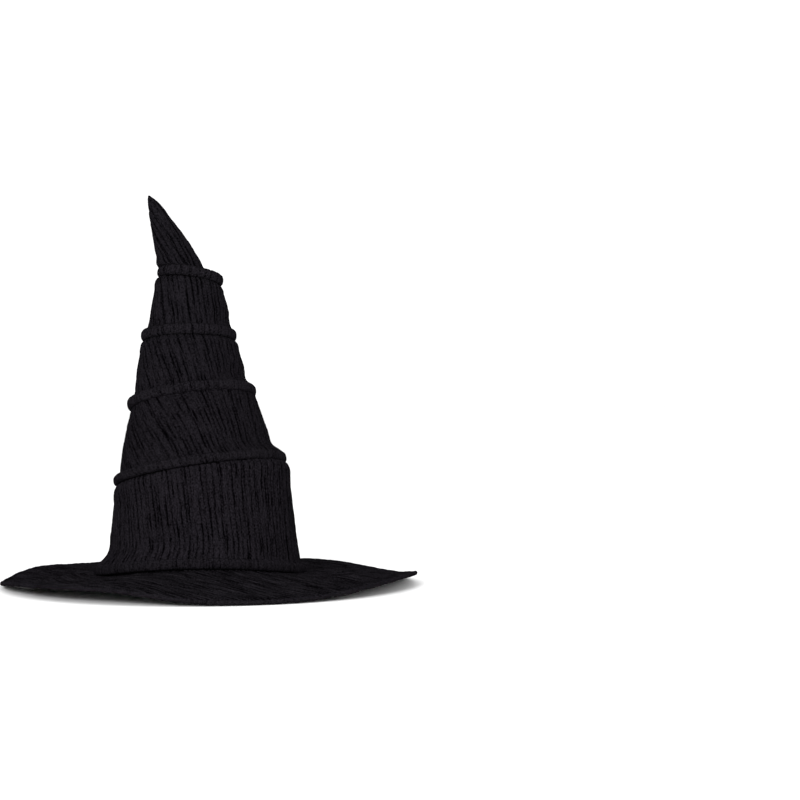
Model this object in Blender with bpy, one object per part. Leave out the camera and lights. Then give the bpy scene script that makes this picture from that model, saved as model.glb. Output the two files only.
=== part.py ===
"""A tall soft witch hat: a wide wired brim, and a crown of four pleated cloth bands
and a bent tip, with a corded welt at each seam. The two lower bands sit round the head.
The bands above them and the tip bend at their welts and spring back.

Metres, +Z up. The front of the hat faces -Y. The origin is at the centre of the brim,
at the height of the surface that the brim rests on.
"""

import math

import bmesh
import bpy
from mathutils import Matrix, Vector

MM = 0.001

# Driving dimensions
BRIM_RADIUS = 200 * MM
HEAD_RADIUS = 90.8 * MM  # inside of the sweatband, for a head of 57 cm
OPENING_RADIUS = 93 * MM  # inner edge of the brim's layers, round the head opening
SWEATBAND_DEPTH = 30 * MM
SWEATBAND_THICKNESS = 1.0 * MM

CLOTH = 0.8 * MM
FOAM = 1.5 * MM
LINING = 0.5 * MM
GAP = 0.3 * MM  # between layers that touch on the real hat

BRIM_CLOTH = 0.6 * MM
BRIM_CORE = 1.2 * MM
BINDING = 0.6 * MM
BINDING_WIDTH = 9 * MM
BRIM_WIRE_RADIUS = 0.9 * MM
BRIM_UNDER_WELT = 1.3 * MM  # from the welt down to the brim, at the opening
EDGE_MARGIN = 3.4 * MM  # from the brim's layers to the outside of the binding

WELT_RADIUS = 4.8 * MM
WELT_CORD_RADIUS = 3.3 * MM
TUCK = 4 * MM  # height over which the cloth tucks in under a welt
WELT_SLIT_DEG = 60  # where the wrapped strip's two edges run into the seam

BEND_CLEARANCE = 1.2 * MM  # between a welt and the round skirt that turns inside it

CROWN_SEGMENTS = 28
BRIM_SEGMENTS = 40
BINDING_SHARE = 1 - BINDING_WIDTH / (BRIM_RADIUS - OPENING_RADIUS)  # where the binding starts

# The brim's edge lies flat on the surface except in three soft waves:
# (direction in degrees from +X, half-width in degrees, height)
BRIM_WAVES = ((-20, 42, 11 * MM), (148, 30, 6 * MM), (242, 26, 5 * MM))

# How far each bending band or tip can turn about the hat's front-to-back direction
THIRD_TIER_SKIRT_DEG = 9
TOP_TIER_SKIRT_DEG = 11
TIP_SKIRT_DEG = 27


class Ring:
    """A seam of the crown: a circle with a centre, a radius and a tilted plane."""

    def __init__(self, centre, radius, rise_right, rise_back, saddle=0):
        self.centre = Vector(centre) * MM
        self.radius = radius * MM
        self.saddle = saddle * MM
        normal = Vector((-rise_right / radius, -rise_back / radius, 1)).normalized()
        right = (Vector((1, 0, 0)) - normal * normal.x).normalized()
        self.frame = Matrix((right, normal.cross(right), normal)).transposed()

    def point(self, x, y, height):
        return self.centre + self.frame @ Vector((x, y, height))

    def loop(self, radius, height, shift=(0, 0), segments=CROWN_SEGMENTS):
        """A loop of points at a radius from the ring's axis and a height over its plane."""
        points = []
        for i in range(segments):
            angle = math.tau * i / segments
            x = radius * math.cos(angle) + shift[0]
            y = radius * math.sin(angle) + shift[1]
            wave = Vector((0, 0, self.saddle * math.cos(2 * angle)))
            points.append(self.point(x, y, height) + wave)
        return points


# The welts' centre circles, from the brim up, in mm:
# centre, radius, rise to the right, rise to the back
SEAM = Ring((-8, 3.5, 16), 97.2, 0, -8.5, saddle=-3.2)
WELT_1 = Ring((-10, 12, 110), 79.9, 11, -13)
WELT_2 = Ring((-18, 24.4, 180), 58, 6.7, -11)
WELT_3 = Ring((-21.3, 29.7, 241), 41.2, 0.2, -5.6)
WELT_4 = Ring((-20.3, 34, 299.5), 27.3, -3.8, -3.9)
APEX = Vector((-60.8, 28, 379)) * MM

# The cloth's outer radius just above the welt below and just below the welt above, in mm
TIER_1_RADII = (95.5, 84.0)
TIER_2_RADII = (77.0, 61.0)
TIER_3_RADII = (54.5, 46.5)
TIER_4_RADII = (41.0, 32.2)
# Where the lining's wall ends: radius, and height over the first welt's plane, in mm
LINING_WALL_TOP = (80.2, -11)
TIP_BASE_RADIUS = 22.5 * MM
TIP_BASE_HEIGHT = 16 * MM

BLACK_CLOTH = (0.010, 0.009, 0.011)
BLACK_LINING = (0.030, 0.028, 0.027)
FOAM_GREY = (0.080, 0.080, 0.085)
CORD_WHITE = (0.550, 0.540, 0.500)
STIFFENER_GREY = (0.120, 0.120, 0.120)
FILLING_WHITE = (0.700, 0.700, 0.680)
WIRE_STEEL = (0.450, 0.450, 0.460)


def clear_scene():
    for thing in list(bpy.data.objects):
        bpy.data.objects.remove(thing, do_unlink=True)


def material(name, colour, roughness, metallic=0.0):
    made = bpy.data.materials.new(name)
    made.use_nodes = True
    shader = made.node_tree.nodes["Principled BSDF"]
    shader.inputs["Base Color"].default_value = (*colour, 1)
    shader.inputs["Roughness"].default_value = roughness
    shader.inputs["Metallic"].default_value = metallic
    return made


def mix(loop_a, loop_b, share, bulge=0.0):
    """The loop at a share of the way from one loop to another, pushed out by bulge."""
    points = [a.lerp(b, share) for a, b in zip(loop_a, loop_b)]
    middle = sum(points, Vector()) / len(points)
    return [p + (p - middle).normalized() * bulge for p in points]


def link(name, data, finish, hinge=None):
    made = bpy.data.objects.new(name, data)
    bpy.context.collection.objects.link(made)
    data.materials.append(finish)
    if hinge:
        made.parent = hinge
        made.matrix_parent_inverse = hinge.matrix_world.inverted()
    return made


def spread(row):
    """Grows outward along the brim and down the crown, so that neighbouring layers are
    split into triangles along the same diagonals and keep their gap."""
    return sum(math.hypot(v.co.x, v.co.y) - v.co.z for v in row)


def surface(name, loops, finish, hinge=None, closed=True, top=None, foot=None):
    """A solid skinned over loops of points. A closed one joins its last loop to its first,
    as a band or a ring does. An open one ends in a point, top or foot, at each end."""
    shell = bmesh.new()
    rows = [[shell.verts.new(point) for point in loop] for loop in loops]
    pairs = list(zip(rows, rows[1:]))
    if closed:
        pairs.append((rows[-1], rows[0]))
    for pair in pairs:
        outer, inner = sorted(pair, key=spread, reverse=True)
        for i in range(len(outer)):
            shell.faces.new((outer[i - 1], outer[i], inner[i]))
            shell.faces.new((outer[i - 1], inner[i], inner[i - 1]))
    for row, point in ((rows[0], foot), (rows[-1], top)):
        if point is not None:
            pole = shell.verts.new(point)
            for i in range(len(row)):
                shell.faces.new((row[i - 1], row[i], pole))
    bmesh.ops.recalc_face_normals(shell, faces=shell.faces)
    mesh = bpy.data.meshes.new(name)
    shell.to_mesh(mesh)
    shell.free()
    mesh.shade_smooth()
    mesh.set_sharp_from_angle(angle=math.radians(40))
    return link(name, mesh, finish, hinge)


def tube(name, points, radius, finish, hinge=None):
    """A closed ring of round cord or wire along a loop of points."""
    curve = bpy.data.curves.new(name, "CURVE")
    curve.dimensions = "3D"
    curve.bevel_depth = radius
    curve.bevel_resolution = 1
    line = curve.splines.new("POLY")
    line.points.add(len(points) - 1)
    for place, point in zip(line.points, points):
        place.co = (*point, 1)
    line.use_cyclic_u = True
    return link(name, curve, finish, hinge)


def hinge_at(name, ring):
    empty = bpy.data.objects.new(name, None)
    empty.location = ring.centre
    bpy.context.collection.objects.link(empty)
    bpy.context.view_layer.update()
    return empty


def welt(name, ring, finishes, hinge=None):
    """A corded welt: a strip wrapped round a filler cord, open along its inner side."""
    half = math.radians(180 - WELT_SLIT_DEG / 2)
    angles = [-half + 2 * half * i / 5 for i in range(6)]
    outer = WELT_RADIUS
    inner = WELT_RADIUS - CLOTH
    section = [(outer, a) for a in angles] + [(inner, a) for a in reversed(angles)]
    loops = []
    for size, angle in section:
        reach = ring.radius + size * math.cos(angle)
        loops.append(ring.loop(reach, size * math.sin(angle)))
    surface(f"{name}_cover", loops, finishes["cloth"], hinge)
    cord_path = ring.loop(ring.radius, 0)
    tube(f"{name}_cord", cord_path, WELT_CORD_RADIUS, finishes["cord"], hinge)


def band(name, foot, top, radii, layer, thickness, inset, bulge, finish, hinge=None):
    """A cloth or foam band between two welts, inset from the cloth's outer face. radii are
    the cloth's outer radii at its foot and top, and layer holds the heights it runs between,
    over the foot's plane and under the top's. A band that turns in its welt starts with
    the round skirt's loops."""
    outer_foot, outer_top = (r * MM - inset for r in radii)
    foot_height, top_height, skirt = layer
    sides = []
    for depth in (0, thickness):
        low = foot.loop(outer_foot - depth, foot_height)
        high = top.loop(outer_top - depth, -top_height)
        side = [round_loop(foot, skirt[0] - depth, angle) for angle in skirt[1]]
        if not skirt[1]:
            side.append(low)
            start = low
        else:
            start = side[-1]
        side.append(mix(start, high, 0.35, bulge))
        side.append(mix(start, high, 0.7, bulge))
        side.append(high)
        sides.append(side)
    return surface(name, sides[0] + sides[1][::-1], finish, hinge)


def round_loop(ring, radius, angle_deg):
    """A loop on a ball about the ring's centre, at an angle over the ring's plane."""
    angle = math.radians(angle_deg)
    return ring.loop(radius * math.cos(angle), radius * math.sin(angle))


def skirt_radius(ring):
    return ring.radius - WELT_RADIUS - BEND_CLEARANCE


def fixed_crown(finishes):
    """The two lower bands, which sit round the head and don't bend."""
    over = WELT_RADIUS + GAP
    under = WELT_RADIUS + TUCK
    for number, foot, top, radii in (
        (1, SEAM, WELT_1, TIER_1_RADII),
        (2, WELT_1, WELT_2, TIER_2_RADII),
    ):
        cloth_band(f"tier_{number}_cloth", foot, top, radii, over, under, finishes["cloth"])
        layer = (over, under + 1.5 * MM, (0, ()))
        inset = CLOTH + GAP
        band(f"tier_{number}_foam", foot, top, radii, layer, FOAM, inset, 0, finishes["foam"])


def cloth_band(name, foot, top, radii, foot_height, under, finish, hinge=None):
    """The outer cloth of a band. Its top edge tucks in under the welt above it."""
    low_radius, high_radius = (r * MM for r in radii)
    sides = []
    for depth in (0, CLOTH):
        low = foot.loop(low_radius - depth, foot_height)
        high = top.loop(high_radius - depth, -under)
        edge = top.loop(top.radius - 1.0 * MM, -(WELT_RADIUS + GAP) - depth)
        side = [low, mix(low, high, 0.35), mix(low, high, 0.7), high, edge]
        sides.append(side)
    return surface(name, sides[0] + sides[1][::-1], finish, hinge)


def bending_band(number, foot, top, radii, skirt_deg, hinge, finishes):
    """A band that turns in the welt below it: foam with a round skirt inside the welt, and
    cloth that starts high enough over the welt to clear it when the band leans."""
    ball = skirt_radius(foot)
    lift = radii[0] * MM * math.sin(math.radians(skirt_deg - 1))
    foot_height = WELT_RADIUS + lift + 0.6 * MM
    under = WELT_RADIUS + TUCK
    cloth_band(
        f"tier_{number}_cloth", foot, top, radii, foot_height, under, finishes["cloth"], hinge
    )
    skirt = (ball, (-skirt_deg - 2, 0, skirt_deg + 1))
    layer = (0, under + 1.5 * MM, skirt)
    inset = CLOTH + GAP
    band(f"tier_{number}_foam", foot, top, radii, layer, FOAM, inset, 0, finishes["foam"], hinge)


def tip(hinge, finishes):
    """The bent tip: a cloth cone with a round skirt inside the top welt, and its stuffing."""
    ball = skirt_radius(WELT_4)
    apex_shift = WELT_4.frame.inverted() @ (APEX - WELT_4.centre)
    lean = (apex_shift.x * 0.2, apex_shift.y * 0.2)

    def cone(inset, low_deg, peak):
        loops = [round_loop(WELT_4, ball - inset, a) for a in (low_deg, 0, 18)]
        base = WELT_4.loop(TIP_BASE_RADIUS - inset, TIP_BASE_HEIGHT, lean)
        loops.append(base)
        for share in (0.3, 0.62, 0.88):
            narrow = mix(base, [peak] * CROWN_SEGMENTS, share)
            loops.append(narrow)
        return loops

    down = (APEX - WELT_4.centre).normalized()
    outer = cone(0, -TIP_SKIRT_DEG - 2, APEX)
    inner_peak = APEX - down * 5 * MM
    inner = cone(CLOTH, -TIP_SKIRT_DEG - 2, inner_peak)
    finish = finishes["cloth"]
    surface(
        "tip_cloth", outer[::-1] + inner, finish, hinge, closed=False, foot=APEX, top=inner_peak
    )
    core_peak = APEX - down * 9 * MM
    core = cone(CLOTH + GAP, -TIP_SKIRT_DEG, core_peak)
    floor = WELT_4.point(0, 0, -(ball - CLOTH - GAP) * math.sin(math.radians(TIP_SKIRT_DEG)))
    surface(
        "tip_filling", core, finishes["filling"], hinge, closed=False, foot=floor, top=core_peak
    )


def crown_lining(finish):
    """The lining of the head space: a side piece, and a dome-shaped tip piece that closes
    the crown halfway up the second band."""
    foot_radius = TIER_1_RADII[0] * MM - CLOTH - FOAM - 2 * GAP
    wall_radius, wall_height = (size * MM for size in LINING_WALL_TOP)
    wall = []
    for depth in (0, LINING):
        low = SEAM.loop(foot_radius - depth, WELT_RADIUS + GAP)
        high = WELT_1.loop(wall_radius - depth, wall_height)
        wall.append([low, high])
    surface("crown_lining_side", wall[0] + wall[1][::-1], finish)

    outline = (  # radius in the first welt, height over its plane
        (79.9, -10.6),
        (72.0, 0),
        (66.0, 10),
        (54.0, 18.5),
        (36.0, 24.5),
        (16.0, 27.5),
    )
    dome = []
    for depth in (0, LINING):
        side = [WELT_1.loop(outline[0][0] * MM - depth, outline[0][1] * MM)]
        side += [WELT_1.loop(r * MM - depth, h * MM - depth) for r, h in outline[1:]]
        dome.append(side)
    peak = 28.2 * MM
    top = WELT_1.point(0, 0, peak)
    inside = WELT_1.point(0, 0, peak - LINING)
    loops = dome[0][::-1] + dome[1]
    surface("crown_lining_tip", loops, finish, closed=False, foot=top, top=inside)


def sweatband(finish):
    """A ribbon inside the opening, from the brim's underside up the inside of the crown."""
    foot_height = -(WELT_RADIUS + 3 * MM)
    top_radius, top_height = (size * MM for size in LINING_WALL_TOP)
    inset = LINING + GAP + SWEATBAND_THICKNESS
    rise = WELT_1.centre.z - SEAM.centre.z
    sides = []
    for depth in (0, SWEATBAND_THICKNESS):
        low = SEAM.loop(HEAD_RADIUS + depth, foot_height)
        middle = SEAM.loop(HEAD_RADIUS + depth, WELT_RADIUS + GAP)
        top = WELT_1.loop(top_radius - inset + depth, top_height)
        sides.append([low, middle, mix(middle, top, SWEATBAND_DEPTH / rise)])
    surface("sweatband", sides[1] + sides[0][::-1], finish)


def edge_height(angle_deg):
    """How far the underside of the brim's edge is above the surface, in a direction."""
    height = 0
    for centre, half_width, size in BRIM_WAVES:
        away = abs((angle_deg - centre + 180) % 360 - 180)
        if away < half_width:
            height += size * 0.5 * (1 + math.cos(math.pi * away / half_width))
    return height


def brim_loop(share, lift, reach=0.0):
    """A loop of the brim at a share of the way from the opening to the edge of its layers,
    lifted from its middle surface, or reaching out past the layers' edge."""
    half_stack = BRIM_CORE / 2 + GAP + BRIM_CLOTH
    half_edge = half_stack + GAP + BINDING
    sink = WELT_RADIUS + BRIM_UNDER_WELT + half_stack
    inner = SEAM.loop(OPENING_RADIUS, -sink, segments=BRIM_SEGMENTS)
    points = []
    for i, start in enumerate(inner):
        turn = 360 * i / BRIM_SEGMENTS
        way = Vector((math.cos(math.radians(turn)), math.sin(math.radians(turn)), 0))
        end = way * (BRIM_RADIUS - EDGE_MARGIN)
        end.z = edge_height(turn) + half_edge
        point = start.lerp(end, share)
        point.z = end.z + (start.z - end.z) * (1 - share) ** 1.2
        points.append(point + way * reach + Vector((0, 0, lift)))
    return points


def brim_sheet(name, low, high, finish):
    """One layer of the brim, between two lifts from the brim's middle surface."""
    shares = (0, 0.3, 0.65, BINDING_SHARE, 1)
    upper = [brim_loop(share, high) for share in shares]
    lower = [brim_loop(share, low) for share in reversed(shares)]
    surface(name, upper + lower, finish)


def brim(finishes):
    core = BRIM_CORE / 2
    cloth = core + GAP
    face = cloth + BRIM_CLOTH
    brim_sheet("brim_upper", cloth, face, finishes["cloth"])
    brim_sheet("brim_stiffener", -core, core, finishes["stiffener"])
    brim_sheet("brim_lower", -face, -cloth, finishes["lining"])
    wire_reach = 1.3 * MM
    tube("brim_wire", brim_loop(1, 0, wire_reach), BRIM_WIRE_RADIUS, finishes["wire"])
    leg = BINDING_SHARE
    inside = face + GAP
    outside = inside + BINDING
    section = (
        (leg, outside, 0),
        (1, outside, 0),
        (1, outside, EDGE_MARGIN),
        (1, -outside, EDGE_MARGIN),
        (1, -outside, 0),
        (leg, -outside, 0),
        (leg, -inside, 0),
        (1, -inside, 0),
        (1, -inside, EDGE_MARGIN - BINDING),
        (1, inside, EDGE_MARGIN - BINDING),
        (1, inside, 0),
        (leg, inside, 0),
    )
    loops = [brim_loop(share, lift, reach) for share, lift, reach in section]
    surface("brim_binding", loops, finishes["cloth"])


def main():
    clear_scene()
    finishes = {
        "cloth": material("pleated_black_cloth", BLACK_CLOTH, 0.85),
        "lining": material("black_lining", BLACK_LINING, 0.55),
        "foam": material("foam_backing", FOAM_GREY, 0.9),
        "cord": material("filler_cord", CORD_WHITE, 0.9),
        "stiffener": material("brim_stiffener", STIFFENER_GREY, 0.9),
        "filling": material("filling", FILLING_WHITE, 0.95),
        "wire": material("steel_wire", WIRE_STEEL, 0.35, 1.0),
    }
    third_tier_hinge = hinge_at("third_tier_hinge", WELT_2)
    top_tier_hinge = hinge_at("top_tier_hinge", WELT_3)
    tip_hinge = hinge_at("tip_hinge", WELT_4)

    brim(finishes)
    welt("base_welt", SEAM, finishes)
    fixed_crown(finishes)
    welt("welt_1", WELT_1, finishes)
    welt("welt_2", WELT_2, finishes)
    sweatband(finishes["lining"])
    crown_lining(finishes["lining"])

    bending_band(
        3, WELT_2, WELT_3, TIER_3_RADII, THIRD_TIER_SKIRT_DEG, third_tier_hinge, finishes
    )
    welt("welt_3", WELT_3, finishes, third_tier_hinge)
    bending_band(4, WELT_3, WELT_4, TIER_4_RADII, TOP_TIER_SKIRT_DEG, top_tier_hinge, finishes)
    welt("welt_4", WELT_4, finishes, top_tier_hinge)
    tip(tip_hinge, finishes)


main()
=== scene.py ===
import math

import bpy
import numpy as np
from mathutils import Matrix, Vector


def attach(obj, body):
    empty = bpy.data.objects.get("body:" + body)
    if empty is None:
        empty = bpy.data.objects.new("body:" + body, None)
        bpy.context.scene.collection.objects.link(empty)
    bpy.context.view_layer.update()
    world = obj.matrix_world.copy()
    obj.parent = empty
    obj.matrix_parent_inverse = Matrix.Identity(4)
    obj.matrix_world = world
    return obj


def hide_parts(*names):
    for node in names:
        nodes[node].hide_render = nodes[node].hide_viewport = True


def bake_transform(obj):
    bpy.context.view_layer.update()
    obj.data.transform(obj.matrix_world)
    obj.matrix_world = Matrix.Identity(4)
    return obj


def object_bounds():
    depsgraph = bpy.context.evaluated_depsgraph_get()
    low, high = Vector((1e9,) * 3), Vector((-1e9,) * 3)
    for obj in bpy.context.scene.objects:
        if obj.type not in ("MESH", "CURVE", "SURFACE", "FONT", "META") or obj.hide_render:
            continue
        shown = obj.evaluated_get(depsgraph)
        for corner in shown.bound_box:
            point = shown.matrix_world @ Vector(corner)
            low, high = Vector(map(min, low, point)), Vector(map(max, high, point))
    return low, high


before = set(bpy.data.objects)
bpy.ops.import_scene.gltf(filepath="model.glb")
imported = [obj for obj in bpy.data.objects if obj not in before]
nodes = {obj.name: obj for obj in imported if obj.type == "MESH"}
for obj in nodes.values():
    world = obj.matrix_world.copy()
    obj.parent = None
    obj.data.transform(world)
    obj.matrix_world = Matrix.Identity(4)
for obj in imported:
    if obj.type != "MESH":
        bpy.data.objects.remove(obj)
cadLow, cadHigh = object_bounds()
mm = 0.001
lowerBody = "brim_and_lower_crown"
print("frame:", len(nodes), "nodes")


def nodePoints(name):
    data = nodes[name].data
    flatList = np.empty(len(data.vertices) * 3)
    data.vertices.foreach_get("co", flatList)
    return flatList.reshape(-1, 3)


def placed(name, data):
    made = bpy.data.objects.new(name, data)
    bpy.context.scene.collection.objects.link(made)
    return made


def smooth(share):
    share = np.clip(share, 0, 1)
    return share * share * (3 - 2 * share)


class Ring:
    # a seam of the crown, read from the cord that fills its welt
    def __init__(self, cordName):
        points = nodePoints(cordName)
        self.centre = points.mean(0)
        away = points - self.centre
        normal = np.linalg.svd(away, full_matrices=False)[2][2]
        self.normal = normal * np.sign(normal[2])
        right = np.array([1.0, 0, 0]) - self.normal * self.normal[0]
        self.right = right / np.linalg.norm(right)
        self.back = np.cross(self.normal, self.right)
        across, along = away @ self.right, away @ self.back
        self.radius = np.hypot(across, along).mean()
        turn = np.arctan2(along, across)
        self.saddle = 2 * (away @ self.normal * np.cos(2 * turn)).mean()

    def loop(self, turn, radius, height, shift=(0, 0)):
        # points round the ring, at a radius from its axis and a height over its plane
        across = (radius * np.cos(turn) + shift[0])[..., None]
        along = (radius * np.sin(turn) + shift[1])[..., None]
        lift = (height + self.saddle * np.cos(2 * turn))[..., None]
        return self.centre + across * self.right + along * self.back + lift * self.normal

    def over(self, height):
        return tuple(self.centre + self.normal * height)


seam = Ring("base_welt_cord")
rings = [seam] + [Ring(f"welt_{k}_cord") for k in (1, 2, 3, 4)]
tipPoints = nodePoints("tip_cloth")
apex = tipPoints[tipPoints[:, 2].argmax()]

# the camera stands level with the hat's middle and looks a little past its right side
view = {"distance": 1.8, "height": 0.178, "lens": 83.0, "turn": 6.1}
cameraData = bpy.data.cameras.new("camera")
cameraData.lens = view["lens"]
camera = placed("camera", cameraData)
camera.location = (seam.centre[0], seam.centre[1] - view["distance"], view["height"])
camera.rotation_euler = (math.radians(90), 0, -math.radians(view["turn"]))
bpy.context.scene.camera = camera
bpy.context.scene.view_settings.view_transform = "Standard"


class Wire:
    # one output socket, so that shader maths reads as ordinary sums
    def __init__(self, finish, socket):
        self.finish, self.socket = finish, socket

    def sum(self, operation, first, second):
        return self.finish.node("ShaderNodeMath", {"operation": operation}, {0: first, 1: second})

    def __add__(self, other):
        return self.sum("ADD", self, other)

    def __radd__(self, other):
        return self.sum("ADD", other, self)

    def __sub__(self, other):
        return self.sum("SUBTRACT", self, other)

    def __rsub__(self, other):
        return self.sum("SUBTRACT", other, self)

    def __mul__(self, other):
        return self.sum("MULTIPLY", self, other)

    def __rmul__(self, other):
        return self.sum("MULTIPLY", other, self)


class Finish:
    # a material, and the one way its nodes are made
    def __init__(self, name, **fixed):
        self.material = bpy.data.materials.new(name)
        self.material.use_nodes = True
        self.tree = self.material.node_tree
        self.shader = self.tree.nodes["Principled BSDF"]
        for socket, value in fixed.items():
            self.shader.inputs[socket.replace("_", " ")].default_value = value

    def node(self, kind, settings=None, values=None, output=0):
        made = self.tree.nodes.new(kind)
        for name, value in (settings or {}).items():
            setattr(made, name, value)
        for name, value in (values or {}).items():
            if isinstance(value, Wire):
                self.tree.links.new(value.socket, made.inputs[name])
            else:
                made.inputs[name].default_value = value
        return Wire(self, made.outputs[output])

    def feed(self, socket, wire):
        self.tree.links.new(wire.socket, self.shader.inputs[socket])

    def stored(self, name, output):
        return self.node("ShaderNodeAttribute", {"attribute_name": name}, output=output)

    def scaled(self, vector, scale):
        settings = {"operation": "MULTIPLY"}
        return self.node("ShaderNodeVectorMath", settings, {0: vector, 1: scale})

    def noise(self, vector, scale, detail=2.0, rough=0.5):
        values = {"Vector": vector, "Scale": scale, "Detail": detail, "Roughness": rough}
        return self.node("ShaderNodeTexNoise", {}, values)

    def ribs(self, vector, direction, scale, waver):
        values = {"Vector": vector, "Scale": scale, "Distortion": waver, "Detail": 1}
        return self.node("ShaderNodeTexWave", {"bands_direction": direction}, values)

    def between(self, factor, first, second):
        settings = {"data_type": "RGBA", "clamp_factor": True}
        values = {0: factor, 6: (*first, 1), 7: (*second, 1)}
        return self.node("ShaderNodeMix", settings, values, 2)

    def bump(self, height, strength, distance):
        values = {"Height": height, "Strength": strength, "Distance": distance}
        self.feed("Normal", self.node("ShaderNodeBump", {}, values))


# how close the marks in the cloth are, across and along the folds, to the metre
weave = {"fine": (1300, 560, 1), "slubs": (700, 620, 1), "patches": 26, "threads": 420,
         "waver": 1.5}


def pleatedFinish(name, look):
    # crinkled matt cloth: streaks along the folds, a plain weave, slubs that catch light, and
    # painted shade in its pleat valleys and seams
    finish = Finish(name, Specular_IOR_Level=0.0)
    flat = finish.stored("flat", "Vector")
    foldShade = finish.stored("foldShade", "Fac")
    streaks = finish.noise(finish.scaled(flat, look["streaks"]), 1, 3, 0.6)
    fine = finish.noise(finish.scaled(flat, weave["fine"]), 1, 2, 0.6)
    patches = finish.noise(flat, weave["patches"], 3, 0.6)
    slubs = finish.noise(finish.scaled(flat, weave["slubs"]), 1, 1, 0.5)
    warp, weft = (finish.ribs(flat, way, weave["threads"], weave["waver"]) for way in "XY")
    light = (streaks - 0.5) * look["streak"] + (fine - 0.5) * 1.8 + (slubs - 0.5) * 1.5
    light = light + (patches - 0.5) * 0.4 + look["base"]
    # painted shade: the cloth is darker in its pleat valleys and along its seams, by the look's
    # valley share
    light = light - foldShade * look["valley"]
    finish.feed("Base Color", finish.between(light, look["dark"], look["light"]))
    finish.feed("Roughness", 0.82 - (streaks - 0.5) * 0.25 - (slubs - 0.5) * 0.2)
    threads = warp * weft
    finish.bump(streaks * 0.8 + fine * 0.35 + slubs * 0.25 + threads * 0.12, 0.75, 0.7 * mm)
    return finish.material


# valley is how strongly painted shade darkens the pleat valleys and seams
clothLook = {"dark": (0.0006, 0.0005, 0.0007), "light": (0.0104, 0.0092, 0.0114),
             "valley": 0.75, "streak": 1.5, "base": 0.6, "streaks": (760, 130, 1)}
# the lower band's, the welts' and the brim's looks are copies of the one pleated cloth, their
# tones set per part for how brightly each is lit: painted light and shade
lowerLook = {**clothLook, "light": (0.0126, 0.0110, 0.0138)}
weltLook = {**clothLook, "light": (0.0120, 0.0106, 0.0131), "valley": 0.4}
brimLook = {**clothLook, "light": (0.0140, 0.0126, 0.0152), "valley": 0.8, "streak": 2.8,
            "base": 0.5, "streaks": (700, 28, 1)}
pleatedCloth = pleatedFinish("pleatedCloth", clothLook)
weltCloth = pleatedFinish("weltCloth", weltLook)
brimCloth = pleatedFinish("brimCloth", brimLook)
lowerCloth = pleatedFinish("lowerCloth", lowerLook)


# the darkest and lightest colour of each smooth cloth
tones = {"satin": ((0.013, 0.0125, 0.012), (0.030, 0.029, 0.028)),
         "lining": ((0.012, 0.012, 0.013), (0.034, 0.033, 0.034)),
         "ribbon": ((0.007, 0.007, 0.008), (0.028, 0.027, 0.029))}


def satinFinish():
    # the smooth, slightly shiny cloth under the brim
    finish = Finish("underBrimSatin", Specular_IOR_Level=0.25, Sheen_Weight=0.02)
    flat = finish.stored("flat", "Vector")
    threads = finish.noise(finish.scaled(flat, (2600, 160, 1)), 1, 2, 0.5)
    twill = finish.ribs(flat, "DIAGONAL", 380, 0.8)
    cloudy = finish.noise(flat, 18, 3, 0.55)
    tone = (threads - 0.5) * 0.8 + (cloudy - 0.5) * 0.9 + 0.5
    finish.feed("Base Color", finish.between(tone, *tones["satin"]))
    finish.feed("Roughness", 0.46 + (threads - 0.5) * 0.2 + (cloudy - 0.5) * 0.12)
    finish.bump(threads * 0.5 + twill * 0.25 + cloudy * 0.6, 0.4, 0.4 * mm)
    return finish.material


def liningFinish():
    # thin plain-woven lining with a faint sheen
    finish = Finish("crownLining", Specular_IOR_Level=0.35, Sheen_Weight=0.08)
    flat = finish.stored("flat", "Vector")
    warp = finish.noise(finish.scaled(flat, (2300, 90, 1)), 1, 2, 0.5)
    weft = finish.noise(finish.scaled(flat, (90, 2300, 1)), 1, 2, 0.5)
    cloudy = finish.noise(flat, 22, 3, 0.6)
    tone = (warp + weft - 1) * 0.7 + (cloudy - 0.5) * 0.8 + 0.5
    finish.feed("Base Color", finish.between(tone, *tones["lining"]))
    finish.feed("Roughness", 0.55 + (warp - 0.5) * 0.2)
    finish.bump(warp * 0.4 + weft * 0.4 + cloudy * 0.5, 0.4, 0.4 * mm)
    return finish.material


def ribbonFinish():
    # grosgrain ribbon: close cross ribs, with painted shade between them
    finish = Finish("grosgrainRibbon", Specular_IOR_Level=0.3, Sheen_Weight=0.06)
    flat = finish.stored("flat", "Vector")
    ribs = finish.ribs(flat, "X", 190, 0.4)
    fuzz = finish.noise(flat, 900, 2, 0.6)
    wear = finish.noise(flat, 30, 3, 0.6)
    tone = ribs * 0.6 + (fuzz - 0.5) * 0.5 + (wear - 0.5) * 0.5 + 0.15
    finish.feed("Base Color", finish.between(tone, *tones["ribbon"]))
    finish.feed("Roughness", 0.7 + (fuzz - 0.5) * 0.2 - ribs * 0.08)
    finish.bump(ribs * 0.6 + fuzz * 0.3, 0.6, 0.3 * mm)
    return finish.material


def hiddenFinish(name, dark, light, scale, rough, metallic=0.0):
    # fibres, foam cells or drawn wire for the pieces inside
    finish = Finish(name, Specular_IOR_Level=0.3, Metallic=metallic)
    place = finish.node("ShaderNodeTexCoord", output="Object")
    cells = finish.noise(place, scale, 3, 0.6)
    clouds = finish.noise(place, scale * 0.08, 2, 0.5)
    tone = (cells - 0.5) * 1.2 + (clouds - 0.5) * 0.8 + 0.5
    finish.feed("Base Color", finish.between(tone, dark, light))
    finish.feed("Roughness", rough + (cells - 0.5) * 0.2)
    finish.bump(cells, 0.5, 0.5 * mm)
    return finish.material


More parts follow.
